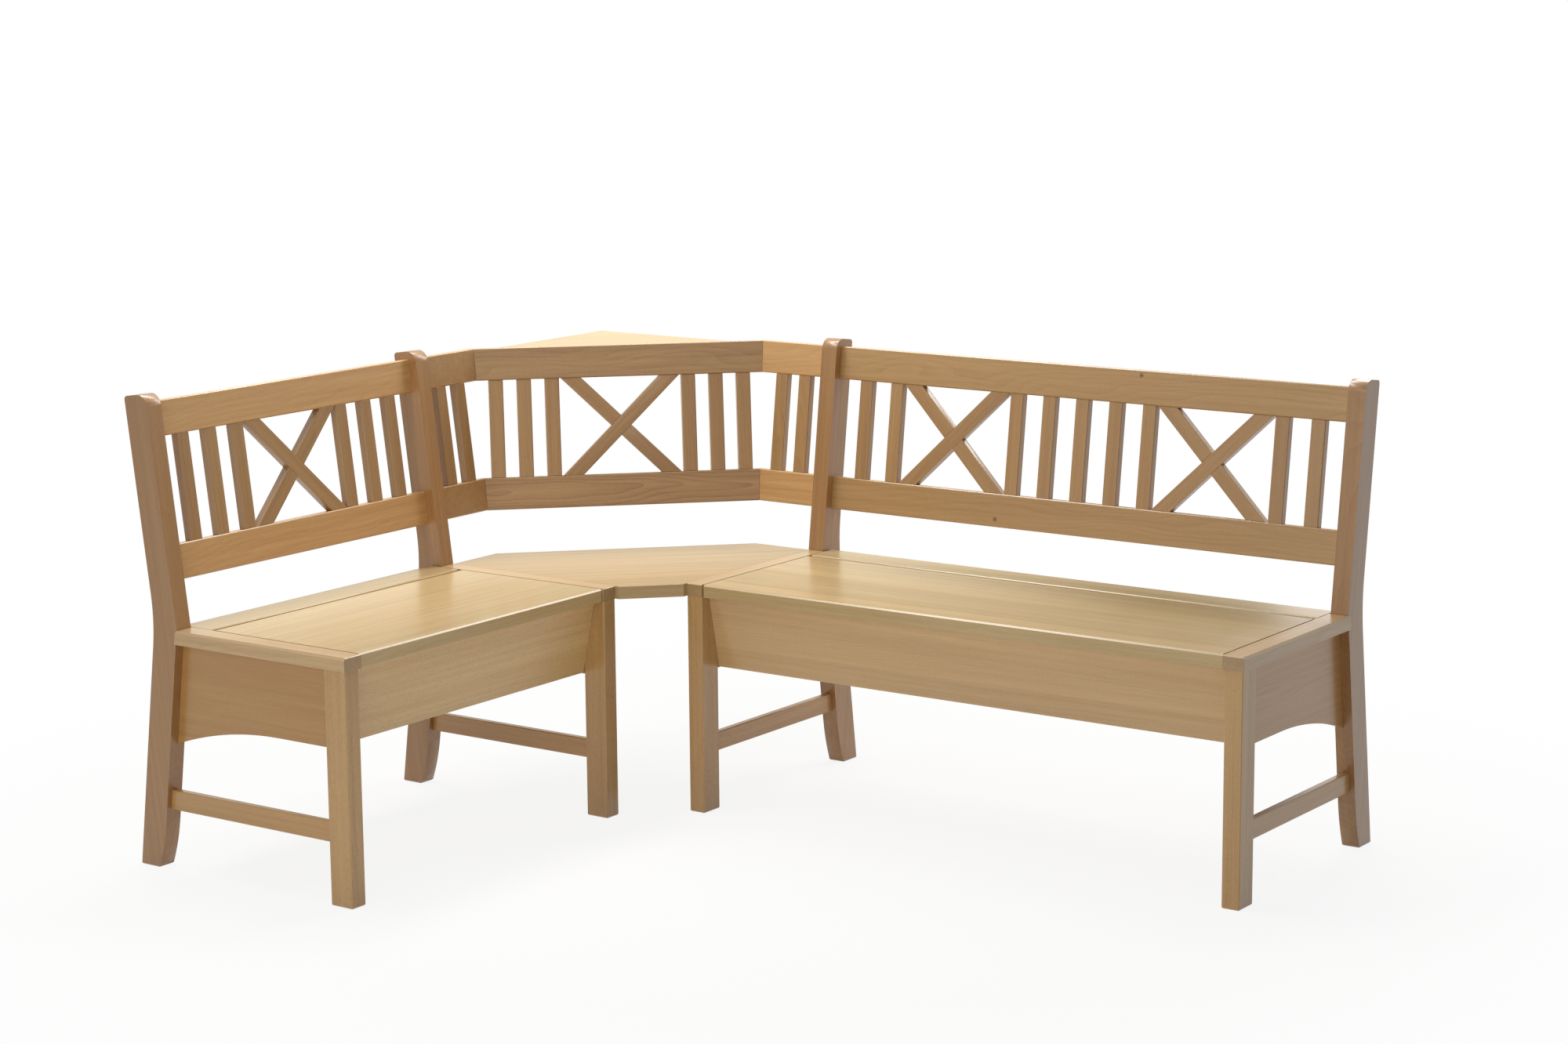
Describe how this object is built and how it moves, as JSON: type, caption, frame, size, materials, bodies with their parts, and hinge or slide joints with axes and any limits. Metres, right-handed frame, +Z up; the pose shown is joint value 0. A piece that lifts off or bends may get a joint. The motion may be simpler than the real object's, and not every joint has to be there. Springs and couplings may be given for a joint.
{
  "type": "corner storage bench",
  "caption": "Corner bench of solid beech: two slatted-back chest benches with lift-up seat lids, joined by a legless corner seat with an angled back and a small shelf.",
  "frame": {"origin": "middle of the overall plan on the floor: half way along both walls' outer lengths, at the feet", "axes": "+X along the long bench away from the corner, +Y towards the wall behind the long bench, +Z up"},
  "size_m": [1.8117, 1.3747, 0.8708],
  "materials": {
    "beech_frame": "satin lacquer",
    "beech_seat": "satin lacquer",
    "beech_panel": "satin lacquer",
    "steel": "bright zinc"
  },
  "bodies": {
    "bench": {"corner_diagonal_lower_rail": "beech_frame", "corner_diagonal_top_rail": "beech_frame", "corner_front_cross_bar": "beech_frame", "corner_rear_cross_bar": "beech_frame", "corner_seat": "beech_seat", "corner_seat_bearers": "beech_panel", "corner_shelf": "beech_panel", "corner_shelf_cleat": "beech_panel", "corner_short_lower_rails": "beech_frame", "corner_short_top_rails": "beech_frame", "corner_slats": "beech_frame", "lid_pivot_pins": "steel", "lid_pivot_washers": "steel", "long_chest_floor": "beech_panel", "long_floor_cleats": "beech_panel", "long_front_cross_bars": "beech_frame", "long_front_panel": "beech_panel", "long_inner_front_leg": "beech_frame", "long_inner_rear_post": "beech_frame", "long_inner_seat_cap": "beech_seat", "long_inner_side_panel": "beech_panel", "long_inner_stretcher": "beech_frame", "long_lower_rail": "beech_frame", "long_outer_front_leg": "beech_frame", "long_outer_rear_post": "beech_frame", "long_outer_seat_cap": "beech_seat", "long_outer_side_panel": "beech_panel", "long_outer_stretcher": "beech_frame", "long_rear_cross_bars": "beech_frame", "long_rear_panel": "beech_panel", "long_rear_strip": "beech_seat", "long_slats": "beech_frame", "long_top_rail": "beech_frame", "short_chest_floor": "beech_panel", "short_floor_cleats": "beech_panel", "short_front_cross_bars": "beech_frame", "short_front_panel": "beech_panel", "short_inner_front_leg": "beech_frame", "short_inner_rear_post": "beech_frame", "short_inner_seat_cap": "beech_seat", "short_inner_side_panel": "beech_panel", "short_inner_stretcher": "beech_frame", "short_lower_rail": "beech_frame", "short_outer_front_leg": "beech_frame", "short_outer_rear_post": "beech_frame", "short_outer_seat_cap": "beech_seat", "short_outer_side_panel": "beech_panel", "short_outer_stretcher": "beech_frame", "short_rear_cross_bars": "beech_frame", "short_rear_panel": "beech_panel", "short_rear_strip": "beech_seat", "short_slats": "beech_frame", "short_top_rail": "beech_frame"},
    "long_seat_lid": {"long_lid": "beech_seat", "long_lid_battens": "beech_panel", "long_lid_screws": "steel"},
    "short_seat_lid": {"short_lid": "beech_seat", "short_lid_battens": "beech_panel", "short_lid_screws": "steel"}
  },
  "joints": [
    {"name": "long_lid_hinge", "type": "hinge", "parent": "bench", "child": "long_seat_lid", "pos_m": [0.306, 0.513, 0.4375], "axis": [-1, 0, 0], "range_deg": [0, 98]},
    {"name": "short_lid_hinge", "type": "hinge", "parent": "bench", "child": "short_seat_lid", "pos_m": [-0.7315, -0.306, 0.4375], "axis": [0, -1, 0], "range_deg": [0, 98]}
  ]
}
